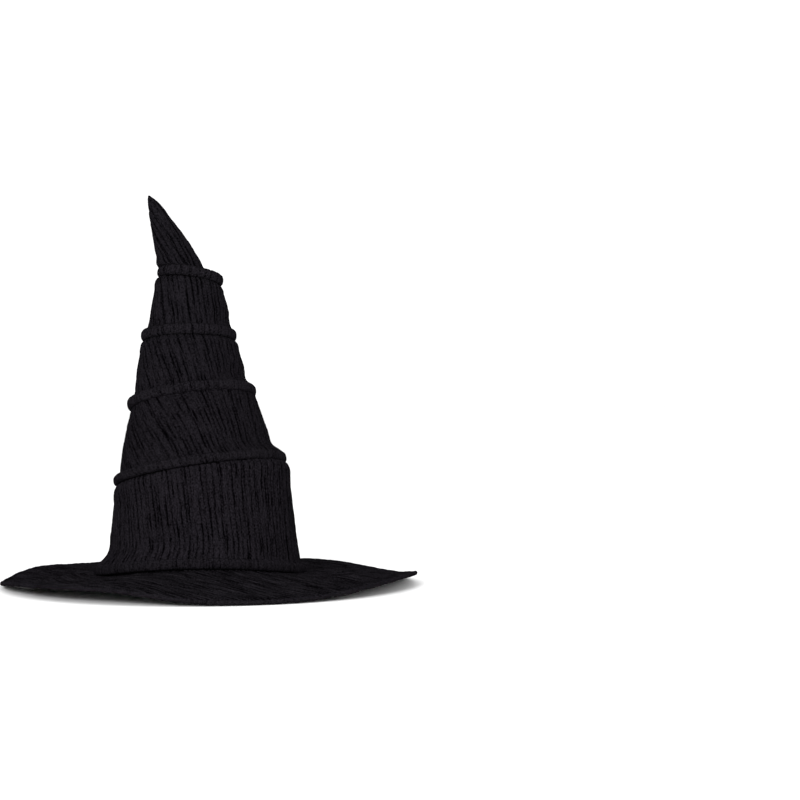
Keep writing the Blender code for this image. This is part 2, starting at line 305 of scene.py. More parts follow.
satin, lining, ribbon = satinFinish(), liningFinish(), ribbonFinish()
foamBacking = hiddenFinish("foamBacking", (0.02, 0.02, 0.022), (0.05, 0.05, 0.053), 900, 0.9)
fillerCord = hiddenFinish("fillerCord", (0.10, 0.095, 0.085), (0.24, 0.23, 0.21), 700, 0.9)
stiffenerFelt = hiddenFinish("stiffenerFelt", (0.02, 0.02, 0.02), (0.06, 0.06, 0.06), 500, 0.9)
stuffingFibre = hiddenFinish("stuffingFibre", (0.30, 0.30, 0.29), (0.55, 0.55, 0.53), 420, 0.95)
springWire = hiddenFinish("springWire", (0.25, 0.25, 0.26), (0.5, 0.5, 0.52), 800, 0.35, 1.0)
thread = hiddenFinish("blackThread", (0.006, 0.006, 0.007), (0.03, 0.03, 0.032), 1500, 0.6)
print("materials:", len(bpy.data.materials))


noiseTable = 128  # bumps each way before the random field repeats


def softNoise(x, y, seed):
    # a smooth random field from -1 to 1, about one bump to each unit
    table = np.random.default_rng(seed).uniform(-1, 1, (noiseTable, noiseTable))
    column, row = np.floor(x).astype(int), np.floor(y).astype(int)
    across, along = smooth(x - column), smooth(y - row)

    def pick(i, j):
        return table[(column + i) % noiseTable, (row + j) % noiseTable]

    low = pick(0, 0) + (pick(1, 0) - pick(0, 0)) * across
    high = pick(0, 1) + (pick(1, 1) - pick(0, 1)) * across
    return low + (high - low) * along


def through(knots, rows):
    # rows of points on a smooth curve through the knots, and how far along each row is
    knots = np.array(knots)
    step = np.linalg.norm(np.diff(knots, axis=0), axis=2).mean(1)
    place = np.concatenate([[0], np.cumsum(step)])
    slope = np.gradient(knots, place, axis=0)
    at = np.linspace(0, place[-1], rows)
    i = np.clip(np.searchsorted(place, at, "right") - 1, 0, len(place) - 2)
    gap = (place[i + 1] - place[i])[:, None, None]
    f = ((at - place[i]) / (place[i + 1] - place[i]))[:, None, None]
    start = (2 * f ** 3 - 3 * f ** 2 + 1) * knots[i] + (f ** 3 - 2 * f ** 2 + f) * gap * slope[i]
    end = (3 * f ** 2 - 2 * f ** 3) * knots[i + 1] + (f ** 3 - f ** 2) * gap * slope[i + 1]
    return start + end, at


def outward(points):
    # unit normals of a grid whose columns go round and whose rows go up
    around = np.roll(points, -1, 1) - np.roll(points, 1, 1)
    along = np.gradient(points, axis=0)
    normal = np.cross(around, along)
    return normal / np.maximum(np.linalg.norm(normal, axis=2, keepdims=True), 1e-12)


def gridPiece(name, points, finish, flat=None, foldShade=None, flip=False, closed=False):
    # a mesh over rows of points that close on themselves round the hat
    rows, columns = points.shape[:2]
    index = np.arange(rows * columns).reshape(rows, columns)
    low, high = (index, np.roll(index, -1, 0)) if closed else (index[:-1], index[1:])
    quads = np.stack([low, np.roll(low, -1, 1), np.roll(high, -1, 1), high], -1).reshape(-1, 4)
    mesh = bpy.data.meshes.new(name)
    mesh.from_pydata(points.reshape(-1, 3), [], (quads[:, ::-1] if flip else quads).tolist())
    # foldShade carries the painted shade of the pleat valleys and seams into the cloth's finish
    for label, kind, values in (("flat", "FLOAT_VECTOR", flat), ("foldShade", "FLOAT", foldShade)):
        if values is None:
            continue
        layer = mesh.attributes.new(label, kind, "POINT")
        key = "vector" if kind == "FLOAT_VECTOR" else "value"
        layer.data.foreach_set(key, np.ascontiguousarray(values, np.float32).ravel())
    mesh.materials.append(finish)
    mesh.shade_smooth()
    piece = placed(name, mesh)
    return piece


def spread(u, v):
    # the flat cloth's own coordinates, in metres, kept for the weave
    return np.stack([u, v, np.zeros_like(u)], -1)


# mm: how far apart the pleats lie, how unevenly, how wide and deep they are, and how far
# before one changes; count and breaks are how many there are before they repeat. Then the
# shares of that depth, a pleat's section, and the crinkles between pleats
folds = {"spacing": 4.6, "jitter": 1.0, "wander": 0.3, "width": 0.62, "depth": 1.05,
         "count": 256, "breaks": 96, "breakLength": 13, "firstBreak": 30,
         "mean": 0.62, "spread": 0.34, "deepest": 1.25, "core": 0.72, "shoulder": 2.4,
         "limit": 1.15, "crinkle": 0.26, "crinkleSize": (2.3, 10),
         "fine": 0.22, "fineSize": (1.35, 3.2)}


class Folds:
    # irregular narrow pleats that run along v, side by side across u, all in mm
    def __init__(self, seed):
        draw = np.random.default_rng(seed)
        self.seed = seed
        shape = folds["count"], folds["breaks"]
        place = draw.normal(0, folds["jitter"], (folds["count"], 1))
        self.place = place + draw.normal(0, folds["wander"], shape)
        depth = draw.normal(folds["mean"], folds["spread"], shape)
        self.depth = np.clip(depth, 0, folds["deepest"])

    def at(self, u, v, stretch=1.0):
        # the height of the cloth over its middle surface, and how deep in a pleat it is, which is
        # also the mask of the painted shade in its valleys
        row = v / folds["breakLength"] + folds["firstBreak"]
        j = np.floor(row).astype(int)
        f = smooth(row - j)
        base = np.floor(u / (folds["spacing"] * stretch)).astype(int)
        valley = np.zeros_like(u)
        for step in (-1, 0, 1, 2):
            i = (base + step) % folds["count"]
            low, high = j % folds["breaks"], (j + 1) % folds["breaks"]
            place = self.place[i, low] + (self.place[i, high] - self.place[i, low]) * f
            depth = self.depth[i, low] + (self.depth[i, high] - self.depth[i, low]) * f
            away = u - ((base + step) * folds["spacing"] + place) * stretch
            away = away / (folds["width"] * stretch)
            core, shoulder = np.exp(-away ** 2), np.exp(-(away / folds["shoulder"]) ** 2)
            valley += depth * (folds["core"] * core + (1 - folds["core"]) * shoulder)
        valley = np.minimum(valley, folds["limit"])
        wide, tall = folds["crinkleSize"]
        crinkle = softNoise(u / wide, v / tall, self.seed + 1) * folds["crinkle"]
        wide, tall = folds["fineSize"]
        crinkle += softNoise(u / wide, v / tall, self.seed + 2) * folds["fine"]
        return crinkle - valley * folds["depth"], valley


def swell(points, size, length, seed):
    # slow dents and swellings of soft cloth: size in mm, and how far apart in metres
    x, y, z = np.moveaxis(points, -1, 0) / length
    slantX, slantY, shift = 0.7, 0.45, 40  # the noise is flat, so height is mixed into it
    return softNoise(x + z * slantX + shift, y - z * slantY + shift, seed) * (size * mm)


clothCentre = math.radians(-53)  # the middle of each cut piece; its seam is opposite
leanEnd = math.radians(72)  # how far from there the folds go on leaning more
stitchWidth = 0.9 * mm


def acrossCloth(turn, radius, fan, rise=0.0, lean=0.0):
    # where a point of a band lies across the flat pleated cloth it was cut from; the folds
    # lean more and more towards the back seam, up to a limit. rise is the height over the
    # band's middle, and lean how much more the folds lean than the band's own taper
    away = turn - clothCentre
    inner = np.clip(away, -leanEnd, leanEnd)
    bent = np.sin(inner * fan)
    flat = radius * (bent / fan + (away - inner) * math.cos(leanEnd * fan))
    return flat - rise * bent * lean


def seamFade(turn, radius, width):
    # 0 on the seam at the back of a band, rising to 1 away from it, and how near its stitches
    away = (math.pi - np.abs(turn - clothCentre)) * radius
    return smooth(away / width), np.exp(-(away / stitchWidth) ** 2)


# cut and backing are the flat pieces of cloth and foam: length, depth and area in metres.
# mm: the cloth's foot inside the welt's ring and its top outside the next one, then how far
# left and right it lands on the welt, and how far it stands out halfway up on each side
bands = {
    1: {"columns": 1200, "rows": 80, "footInset": (2.3, 2.3), "topReach": 4.1, "fan": 0.157,
        "landing": (2.6, 1.0), "bulge": (-1.8, -0.4), "seed": 11,
        "cut": (0.69, 0.118, 0.0735), "backing": (0.57, 0.098, 0.0510)},
    2: {"columns": 1000, "rows": 68, "footInset": (1.2, 4.6), "topReach": 3.2, "fan": 0.5,
        "landing": (-1.6, 2.8), "bulge": (1.0, -0.6), "seed": 22,
        "cut": (0.54, 0.095, 0.0420), "backing": (0.46, 0.075, 0.0310)},
    3: {"columns": 800, "rows": 62, "footInset": (1.2, 2.6), "topReach": 5.0, "fan": 0.35,
        "landing": (-1.4, 2.2), "bulge": (1.4, 0.8), "seed": 33,
        "cut": (0.385, 0.080, 0.0260), "backing": (0.335, 0.062, 0.0190),
        "bodies": (lowerBody, "third_tier")},
    4: {"columns": 640, "rows": 58, "footInset": (0.2, 0.2), "topReach": 4.7, "fan": 0.24,
        "landing": (0.3, 1.2), "bulge": (-0.4, 1.6), "seed": 44,
        "cut": (0.29, 0.072, 0.0175), "backing": (0.24, 0.058, 0.0122),
        "bodies": ("third_tier", "top_tier")},
}
# mm, but for shares. bulgeAt is the share of a band's height, and of its bulge there; landIn
# and landDrop are where its edge is tucked into the welt below; foam, lining and ribbon are
# how far inside the cloth those layers lie
bandShape = {"footHeight": 4.2, "under": 7.4, "proud": 0.4, "creaseReach": 3.0,
             "creaseDrop": 5.4, "tuckReach": -1.5, "tuckDrop": 4.4, "landIn": 1.4,
             "landDrop": 2.6, "bulgeAt": ((0.13, 0.2), (0.45, 1), (0.78, 0.6)),
             "hem": 4, "swell": (0.7, 0.034, 7),
             "seamWidth": 5.0, "seamDepth": 0.9, "foam": (2.2, 3.5), "foamColumns": 160,
             "foamRows": 26, "lining": 4.3, "ribbon": 5.4}
welts = {
    0: {"name": "base_welt", "columns": 1100, "band": 1, "reach": 5.2, "shift": -2.4,
        "body": lowerBody},
    1: {"name": "welt_1", "columns": 960, "band": 2, "reach": 4.7, "shift": -0.4,
        "body": lowerBody},
    2: {"name": "welt_2", "columns": 760, "band": 3, "reach": 5.3, "shift": -0.8,
        "body": lowerBody},
    3: {"name": "welt_3", "columns": 600, "band": 4, "reach": 5.6, "shift": -0.3,
        "body": "third_tier"},
    4: {"name": "welt_4", "columns": 440, "band": 5, "reach": 5.3, "shift": 0,
        "body": "top_tier"},
}
# open and top are degrees round the roll: where its edges are, and where the band above
# meets it; strip is the width in metres of the flat cloth that is rolled
weltShape = {"rows": 32, "open": 150, "top": 110, "square": 2.7, "depth": 0.45,
             "seamDepth": 0.6, "knobs": 0.18, "knobLength": 9, "knobTurn": 1.2,
             "knobShift": (50, 9), "knobSeed": 5, "strip": 0.034}
cordShape = {"columns": 360, "rows": 24, "radius": 3.2, "strands": 3, "strandDepth": 0.25,
             "twist": 4}
tipFan, tipSeed = 0.3, 55
blendFrom, blendTo = 3 * mm, 24 * mm


def bandTurns(columns):
    return clothCentre + np.linspace(-math.pi, math.pi, columns, endpoint=False)


def sided(turn, pair):
    # a size that goes from the first value on the left to the second on the right
    return (sum(pair) / 2 + (pair[1] - pair[0]) / 2 * np.cos(turn)) * mm


def bandSurface(number, columns, rows, inset=0.0):
    # the smooth surface of a band, from inside the welt below it to under the welt above
    band, foot, top, welt = bands[number], rings[number - 1], rings[number], welts[number - 1]
    turn = bandTurns(columns)
    proud = bandShape["proud"] * mm - inset
    low = foot.loop(turn, foot.radius - sided(turn, band["footInset"]) + proud,
                    bandShape["footHeight"] * mm)
    high = top.loop(turn, top.radius + band["topReach"] * mm + proud, -bandShape["under"] * mm)
    way = np.stack([np.cos(turn), np.sin(turn), np.zeros_like(turn)], -1)
    bulge = sided(turn, band["bulge"])[:, None]
    middle = [low + (high - low) * share + way * bulge * size
              for share, size in bandShape["bulgeAt"]]
    reach, landing = welt["reach"] * mm, sided(turn, band["landing"])
    power = weltShape["square"]
    rise = reach * (1 - np.abs(landing / reach) ** power) ** (1 / power)
    landIn, landDrop = bandShape["landIn"] * mm, bandShape["landDrop"] * mm
    shift = (welt["shift"] * mm, 0)
    start = [foot.loop(turn, foot.radius + landing + landIn - inset, rise - landDrop, shift),
             foot.loop(turn, foot.radius + landing - inset, rise, shift)]
    tucked = [top.loop(turn, top.radius + bandShape[out] * mm - inset, -bandShape[drop] * mm)
              for out, drop in (("creaseReach", "creaseDrop"), ("tuckReach", "tuckDrop"))]
    points, along = through([*start, *middle, high, *tucked], rows)
    dents = swell(points, *bandShape["swell"])
    return points + outward(points) * dents[..., None], along, turn


def bandCut(number):
    # a band's radii at its foot and top, its length, and how much further its folds lean
    band, low, high = bands[number], rings[number - 1], rings[number]
    foot = low.radius - sum(band["footInset"]) / 2 * mm
    top = high.radius + band["topReach"] * mm
    length = np.linalg.norm(high.centre - low.centre)
    return foot, top, length, 1 + (top - foot) / length / band["fan"]


def clothBand(number):
    # the pleated outer cloth of one band
    band = bands[number]
    points, along, turn = bandSurface(number, band["columns"], band["rows"])
    foot, top, length, lean = bandCut(number)
    radius = foot + (top - foot) * along[:, None] / along[-1]
    up = along[:, None] - bandShape["hem"] * mm + 0 * turn[None]
    across = acrossCloth(turn[None], radius, band["fan"], up - length / 2, lean)
    height, foldShade = Folds(band["seed"]).at(across / mm, up / mm)
    fade, stitched = seamFade(turn[None], radius, bandShape["seamWidth"] * mm)
    height = height * fade * mm - stitched * bandShape["seamDepth"] * mm
    # the mask of painted shade: the pleat valleys, fading at the seam, and the seam's stitch line
    foldShade = np.maximum(foldShade * fade, stitched)
    points = points + outward(points) * height[..., None]
    piece = gridPiece(f"tier_{number}_pleated_cloth", points,
                      lowerCloth if number == 1 else pleatedCloth,
                      spread(across, up), foldShade)
    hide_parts(f"tier_{number}_cloth")
    length, depth, area = band["cut"]
    return piece


def foamBand(number):
    # the foam behind a band's cloth, as a thin closed shell
    columns, rows = bandShape["foamColumns"], bandShape["foamRows"]
    outer, inner = (bandSurface(number, columns, rows, depth * mm)[0][1:-3]
                    for depth in bandShape["foam"])
    points = np.concatenate([outer, inner[::-1]])
    piece = gridPiece(f"tier_{number}_foam_backing", points, foamBacking,
                      closed=True)
    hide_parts(f"tier_{number}_foam")
    return piece


def joinBodies(piece, number):
    # the two lower bands are attached to the lower body; the upper two have their transforms
    # baked where they stand
    bodies = bands[number].get("bodies")
    if bodies is None:
        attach(piece, lowerBody)
    else:
        ring = rings[number - 1]
        ring.over(blendFrom)
        ring.over(blendTo)
        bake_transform(piece)


def surfaceArea(piece):
    return sum(face.area for face in piece.data.polygons)


for number in bands:
    cloth, foam = clothBand(number), foamBand(number)
    for piece in (cloth, foam):
        joinBodies(piece, number)
        print("band", number, piece.name, round(surfaceArea(piece), 5))


def weltRoll(number):
    # cloth rolled round a cord; its ribs carry on the pleats of the band above
    welt, ring = welts[number], rings[number]
    turn = bandTurns(welt["columns"])
    angle = np.radians(np.linspace(-weltShape["open"], weltShape["open"], weltShape["rows"]))
    turns, angles = np.meshgrid(turn, angle)
    reach, power = welt["reach"] * mm, weltShape["square"]
    fullness = (np.abs(np.cos(angles)) ** power + np.abs(np.sin(angles)) ** power) ** (-1 / power)
    points = ring.loop(turns, ring.radius + reach * fullness * np.cos(angles),
                       reach * fullness * np.sin(angles), (welt["shift"] * mm, 0))
    up = reach * (angles - math.radians(weltShape["top"]))
    if welt["band"] in bands:
        fan, seed = bands[welt["band"]]["fan"], bands[welt["band"]]["seed"]
        foot, _, length, lean = bandCut(welt["band"])
        across = acrossCloth(turns, foot, fan, up - length / 2, lean)
    else:
        fan, seed = tipFan, tipSeed
        across = acrossCloth(turns, ring.radius, fan)
    height, foldShade = Folds(seed).at(across / mm, up / mm)
    fade, stitched = seamFade(turns, ring.radius, bandShape["seamWidth"] * mm)
    along, aside = weltShape["knobShift"]
    around = angles * weltShape["knobTurn"] + aside
    knobs = softNoise(across / (weltShape["knobLength"] * mm) + along, around,
                      seed + weltShape["knobSeed"]) * weltShape["knobs"]
    height = (height * weltShape["depth"] + knobs) * fade * mm
    height = height - stitched * weltShape["seamDepth"] * mm
    points = points + outward(points) * height[..., None]
    # the welt's cloth gets painted shade in its pleat valleys and along its seam
    piece = gridPiece(f"{welt['name']}_roll", points, weltCloth,
                      spread(across, up), np.maximum(foldShade * fade, stitched))
    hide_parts(f"{welt['name']}_cover")
    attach(piece, welt["body"])
    print("welt", number, round(surfaceArea(piece), 5))


def weltCord(number):
    # the twisted cord inside a roll
    welt, ring = welts[number], rings[number]
    around = np.linspace(0, math.tau, cordShape["rows"], endpoint=False)
    turns, angles = np.meshgrid(bandTurns(cordShape["columns"]), around)
    strand = np.cos(cordShape["strands"] * angles + turns * ring.radius / (
        cordShape["twist"] * mm))
    size = (cordShape["radius"] + cordShape["strandDepth"] * strand) * mm
    points = ring.loop(turns, ring.radius + size * np.cos(angles), size * np.sin(angles),
                       (welt["shift"] * mm, 0))
    piece = gridPiece(f"{welt['name']}_filler", points, fillerCord, closed=True)
    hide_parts(f"{welt['name']}_cord")
    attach(piece, welt["body"])


for number in welts:
    weltRoll(number)
    weltCord(number)

# mm, but for shares: foot is radius and height over the welt's ring; rings are the share of
# the way up to the point, the bow to the right, and the radius
tipShape = {"rows": 84, "columns": 400, "foot": ((24.2, 1.5), (25.6, 4.4)),
            "rings": ((0.085, -3.9, 24.6), (0.24, -2.6, 21.0), (0.386, -1.9, 18.4),
                      (0.533, -1.0, 15.1), (0.68, -0.6, 11.5), (0.828, 0.7, 7.7),
                      (0.937, 0.6, 4.0), (0.992, 0.0, 1.0)),
            "upright": 0.4, "least": 0.3, "hem": 3, "narrow": 9, "pointShare": 0.2,
            "seamDepth": 0.6, "swell": (0.7, 0.02, 8),
            "cut": (0.165, 0.10), "cutArea": 0.0105}
stuffingShape = {"columns": 96, "rows": 40, "firstRow": 5, "inset": 6.6, "end": 0.88,
                 "drop": 2.5, "swell": (0.5, 0.012, 9), "fill": 0.7}


def tipSurface(columns, rows, inset=0.0, end=1.0):
    ring, turn = rings[4], bandTurns(columns)
    knots = [ring.loop(turn, radius * mm - inset, height * mm)
             for radius, height in tipShape["foot"]]
    for share, bow, radius in tipShape["rings"]:
        middle = ring.centre + (apex - ring.centre) * share * end + np.array([bow * mm, 0, 0])
        size = max(radius * mm - inset, tipShape["least"] * mm)
        level = np.stack([np.cos(turn), np.sin(turn), np.zeros_like(turn)], -1) * size
        tilted = (ring.right * np.cos(turn)[:, None] + ring.back * np.sin(turn)[:, None]) * size
        level = tilted + (level - tilted) * smooth(np.array(share / tipShape["upright"]))
        knots.append(middle + level)
    return (*through(knots, rows), turn)


def tipCloth():
    points, along, turn = tipSurface(tipShape["columns"], tipShape["rows"])
    middle = points.mean(1, keepdims=True)
    radius = np.linalg.norm(points - middle, axis=2).mean(1)[:, None] + 0 * turn[None]
    across = acrossCloth(turn[None], radius, tipFan)
    up = np.broadcast_to(along[:, None], across.shape) - tipShape["hem"] * mm
    height, foldShade = Folds(tipSeed).at(across / mm, up / mm)
    fade, stitched = seamFade(turn[None], radius, bandShape["seamWidth"] * mm)
    least = tipShape["pointShare"]  # the folds get shallower near the point
    narrow = smooth(radius / (tipShape["narrow"] * mm)) * (1 - least) + least
    height = (height * fade - stitched * tipShape["seamDepth"]) * mm
    height = (height + swell(points, *tipShape["swell"])) * narrow
    points = points + outward(points) * height[..., None]
    # the tip's cloth gets painted shade in its pleat valleys and along its seam
    piece = gridPiece("tip_pleated_cloth", points, pleatedCloth,
                      spread(across, up), np.maximum(foldShade * fade, stitched))
    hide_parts("tip_cloth")
    return piece


def tipStuffing():
    shape = stuffingShape
    points = tipSurface(shape["columns"], shape["rows"], shape["inset"] * mm, shape["end"])[0]
    points = points[shape["firstRow"]:] - rings[4].normal * shape["drop"] * mm
    lumps = swell(points, *shape["swell"])
    points = points + outward(points) * lumps[..., None]
    caps = [np.repeat(points[end].mean(0)[None], shape["columns"], 0)[None]
            for end in (0, -1)]
    points = np.concatenate([caps[0], points, caps[1]])
    piece = gridPiece("tip_stuffing", points, stuffingFibre)
    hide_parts("tip_filling")
    return piece


for piece in (tipCloth(), tipStuffing()):
    rings[4].over(blendFrom)
    rings[4].over(blendTo)
    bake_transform(piece)
    print("tip", piece.name, round(surfaceArea(piece), 5))

# mm, but for shares of the way out to the edge. settle and curls are soft waves: direction
# and half width in degrees, and height; creases run from x, y beside the crown to x, y
# further forward; a pair such as creaseStart is the share at which it begins, and its width
brimShape = {"opening": 93.0, "sink": 7.6, "wireReach": 1.3, "fall": 1.2, "edgeSteps": 181,
             "edgeBlur": 0.09,
             "settle": ((-18, 46, -7.4), (-46, 32, 4.0), (-128, 50, 6.2), (207, 36, -2.4),
                        (112, 30, 5.5), (56, 32, 5.0)),
             "curls": ((-16, 44, 7.0), (207, 36, 7.0)), "curlWidth": 0.2,
             "creases": ((-105, 3, -165, -115), (90, 3, 135, -105)), "crease": 7.0,
             "creaseWidth": 12.0, "creaseStart": (0.04, 0.25), "creaseEnd": (1.15, 0.3),
             "creaseFade": 0.15, "foldTurn": -45, "foldSeed": 66, "foldStretch": 1.15,
             "cut": (0.42, 0.42), "cutArea": 0.114}
wirePoints = nodePoints("brim_wire")
wireTurn = np.arctan2(wirePoints[:, 1], wirePoints[:, 0])
wireRadius = np.hypot(wirePoints[:, 0], wirePoints[:, 1]).mean()
edgeRadius = wireRadius - brimShape["wireReach"] * mm


def edgeHeight(turn):
    # the height of the wire round the brim's edge, smoothed from its points
    table = np.linspace(-math.pi, math.pi, brimShape["edgeSteps"])
    away = (table[:, None] - wireTurn[None] + math.pi) % math.tau - math.pi
    weight = np.exp(-(away / brimShape["edgeBlur"]) ** 2)
    height = (weight * wirePoints[None, :, 2]).sum(1) / weight.sum(1)
    return np.interp((turn + math.pi) % math.tau - math.pi, table, height)


def wave(turn, waves):
    # the height of soft waves round the edge
    height = np.zeros_like(turn)
    for centre, half, size in waves:
        away = np.abs((np.degrees(turn) - centre + 180) % 360 - 180)
        height += size * mm * 0.5 * (1 + np.cos(math.pi * np.minimum(away / half, 1)))
    return height


def creased(points):
    # the height of the soft creases beside the crown
    height = np.zeros(points.shape[:-1])
    (start, rise), (end, fall) = brimShape["creaseStart"], brimShape["creaseEnd"]
    for x, y, endX, endY in brimShape["creases"]:
        way = np.array([endX - x, endY - y]) * mm
        length = np.linalg.norm(way)
        way = way / length
        away = points[..., :2] - np.array([x, y]) * mm
        along = (away @ way) / length
        off = np.abs(away[..., 0] * way[1] - away[..., 1] * way[0])
        size = brimShape["crease"] * mm * np.exp(-off / (brimShape["creaseWidth"] * mm))
        height += size * smooth((along - start) / rise) * smooth((end - along) / fall)
    return height


def rimHeight(turn):
    # the wire's height, with the edge settled and curled
    return edgeHeight(turn) + wave(turn, brimShape["settle"]) + wave(turn, brimShape["curls"])


def brimSurface(turn, share, lift):
    # the brim's surface, from the opening at share 0 to the edge of its layers at share 1
    inner = seam.loop(turn, brimShape["opening"] * mm + 0 * turn, -brimShape["sink"] * mm)
    end = np.stack([np.cos(turn) * edgeRadius, np.sin(turn) * edgeRadius, edgeHeight(turn)], -1)
    points = inner + (end - inner) * share[..., None]
    fall = np.maximum(1 - share, 0) ** brimShape["fall"]
    end[..., 2] += wave(turn, brimShape["settle"])
    points[..., 2] = end[..., 2] + (inner[..., 2] - end[..., 2]) * fall + lift
    turned = smooth((share - 1 + brimShape["curlWidth"]) / brimShape["curlWidth"])
    points[..., 2] += wave(turn, brimShape["curls"]) * turned
    points[..., 2] += creased(points) * smooth((1 - share) / brimShape["creaseFade"])
    return points


def brimGrid(columns, rows):
    return np.meshgrid(np.linspace(-math.pi, math.pi, columns, endpoint=False), rows)


def brimFolds(points):
    # where a point lies on the flat cloth, whose folds run straight across the whole brim
    slant = math.radians(brimShape["foldTurn"])
    across = -points[..., 0] * math.sin(slant) + points[..., 1] * math.cos(slant)
    along = points[..., 0] * math.cos(slant) + points[..., 1] * math.sin(slant)
    pleats = Folds(brimShape["foldSeed"])
    return across, along, *pleats.at(across / mm, along / mm, brimShape["foldStretch"])


topShape = {"columns": 1120, "rows": 86, "end": 1.004, "lift": 2.0, "edgeDrop": 0.7,
            "edgeStart": (0.93, 0.07), "turnedUp": 6.0, "turnedWidth": 0.035, "deepest": 1.25,
            "swell": (0.8, 0.05, 10), "swellFade": 0.1}


def brimTop():
    # the pleated cloth over the brim
    shape = topShape
    turns, shares = brimGrid(shape["columns"], np.linspace(0, shape["end"], shape["rows"]))
    edge, width = shape["edgeStart"]
    lift = (shape["lift"] - shape["edgeDrop"] * smooth((shares - edge) / width)) * mm
    lift = lift + shape["turnedUp"] * mm * np.maximum(0, 1 - shares / shape["turnedWidth"])
    points = brimSurface(turns, shares, lift)
    across, along, height, foldShade = brimFolds(points)
    height = np.maximum(height, -shape["deepest"]) * mm
    dents = swell(points, *shape["swell"])
    height += np.abs(dents) * smooth((1 - shares) / shape["swellFade"])
    points[..., 2] += height
    # the brim's cloth gets painted shade in its pleat valleys
    piece = gridPiece("brim_top_cloth", points, brimCloth,
                      spread(across, along), foldShade, flip=True)
    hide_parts("brim_upper")
    return piece


underShape = {"columns": 420, "rows": 40, "lift": -1.5, "swell": (0.35, 0.03, 12),
              "swellFade": 0.15}


def brimUnder():
    # the smooth cloth under the brim
    shape = underShape
    turns, shares = brimGrid(shape["columns"], np.linspace(0, 1, shape["rows"]))
    points = brimSurface(turns, shares, shape["lift"] * mm)
    dents = swell(points, *shape["swell"])
    points[..., 2] -= np.abs(dents) * smooth((1 - shares) / shape["swellFade"])
    piece = gridPiece("brim_under_satin", points, satin,
                      spread(points[..., 0], points[..., 1]))
    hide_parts("brim_lower")
    return piece


# mm; open is where the strip's edges lie, in degrees, and valley is the share of painted shade in
# the pleat valleys
bindingShape = {"columns": 1500, "rows": 22, "open": 172, "reach": 2.05, "deepest": 1.0,
                "foldShare": 0.35, "pucker": 0.22, "puckerLength": 5, "puckerShift": (60, 8),
                "puckerSeed": 13, "valley": 0.6, "lowest": 0.1, "strip": (1.257, 0.014)}


def brimEdge():
    # a narrow strip of the same cloth, turned over the wire
    shape = bindingShape
    turns, angles = brimGrid(shape["columns"], np.radians(
        np.linspace(-shape["open"], shape["open"], shape["rows"])))
    way = np.stack([np.cos(turns), np.sin(turns), 0 * turns], -1)
    reach = shape["reach"] * mm
    height, foldShade = brimFolds(way * wireRadius)[2:]
    along, aside = shape["puckerShift"]
    pucker = softNoise(turns * wireRadius / (shape["puckerLength"] * mm) + along,
                       angles + aside, shape["puckerSeed"]) * shape["pucker"]
    size = reach + (np.maximum(height, -shape["deepest"]) * shape["foldShare"] + pucker) * mm
    points = way * (wireRadius + size * np.cos(angles))[..., None]
    points[..., 2] = rimHeight(turns) + size * np.sin(angles)
    points[..., 2] = np.maximum(points[..., 2], shape["lowest"] * mm)
    # the binding gets painted shade in its pleat valleys, at the valley share
    piece = gridPiece("brim_edge_binding", points, weltCloth,
                      spread(turns * wireRadius, angles * reach), foldShade * shape["valley"])
    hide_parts("brim_binding")
    return piece


feltShape = {"columns": 320, "rows": 30, "span": (0.005, 0.985), "lifts": (0.5, -0.6),
             "cut": (0.40, 0.40), "cutArea": 0.0965}


def brimCore():
    # the felt that stiffens the brim, between its two cloths
    shape = feltShape
    turns, shares = brimGrid(shape["columns"], np.linspace(*shape["span"], shape["rows"]))
    faces = [brimSurface(turns, shares, lift * mm) for lift in shape["lifts"]]
    points = np.concatenate([faces[0], faces[1][::-1]])
    piece = gridPiece("brim_stiffening_felt", points, stiffenerFelt, flip=True,
                      closed=True)
    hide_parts("brim_stiffener")
    return piece


wireShape = {"columns": 480, "rows": 12, "radius": 0.9}


def brimWire():
    # the spring wire inside the binding
    turns, angles = brimGrid(wireShape["columns"], np.linspace(
        0, math.tau, wireShape["rows"], endpoint=False))
    way = np.stack([np.cos(turns), np.sin(turns), 0 * turns], -1)
    radius = wireShape["radius"] * mm
    points = way * (wireRadius + radius * np.cos(angles))[..., None]
    points[..., 2] = rimHeight(turns) + radius * np.sin(angles)
    piece = gridPiece("brim_spring_wire", points, springWire, closed=True)
    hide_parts("brim_wire")
    return piece


for piece in (brimTop(), brimUnder(), brimEdge(), brimCore(), brimWire()):
    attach(piece, lowerBody)
    print("brim", piece.name, round(surfaceArea(piece), 5))

# mm: how far the puckers are from one another, and how far they and the ease go in;
# kept are the rows of the first band's surface that the wall follows
wallShape = {"columns": 900, "rows": 64, "kept": (5, -9), "shift": (60, 9), "seed": 77,
             "pucker": (11, 34), "fine": (3.4, 13), "ease": 0.5, "puckerDepth": 0.5,
             "fineDepth": 0.2, "cut": (0.60, 0.098), "cutArea": 0.052}


def noiseOver(across, up, size, shift, seed):
    # a random field with bumps of a size in mm across and up a piece
    return softNoise(across / (size[0] * mm) + shift[0], up / (size[1] * mm) + shift[1], seed)


def liningSide():
    # the lining's wall follows the first band's cloth, inside its foam
    shape = wallShape
    points, along, turn = bandSurface(1, shape["columns"], shape["rows"],
                                      bandShape["lining"] * mm)
    kept = slice(*shape["kept"])
    points, along = points[kept], along[kept]
    across = turn[None] * seam.radius + 0 * along[:, None]
    up = along[:, None] - along[0] + 0 * across
    ease = np.sin(math.pi * up / up.max())
    pucker = noiseOver(across, up, shape["pucker"], shape["shift"], shape["seed"])
    fine = noiseOver(across, up, shape["fine"], shape["shift"], shape["seed"] + 1)
    depth = shape["ease"] + pucker * shape["puckerDepth"] + fine * shape["fineDepth"]
    points = points - outward(points) * (depth * ease * mm)[..., None]
    piece = gridPiece("crown_lining_wall", points, lining, spread(across, up))
    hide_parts("crown_lining_side")
    return piece


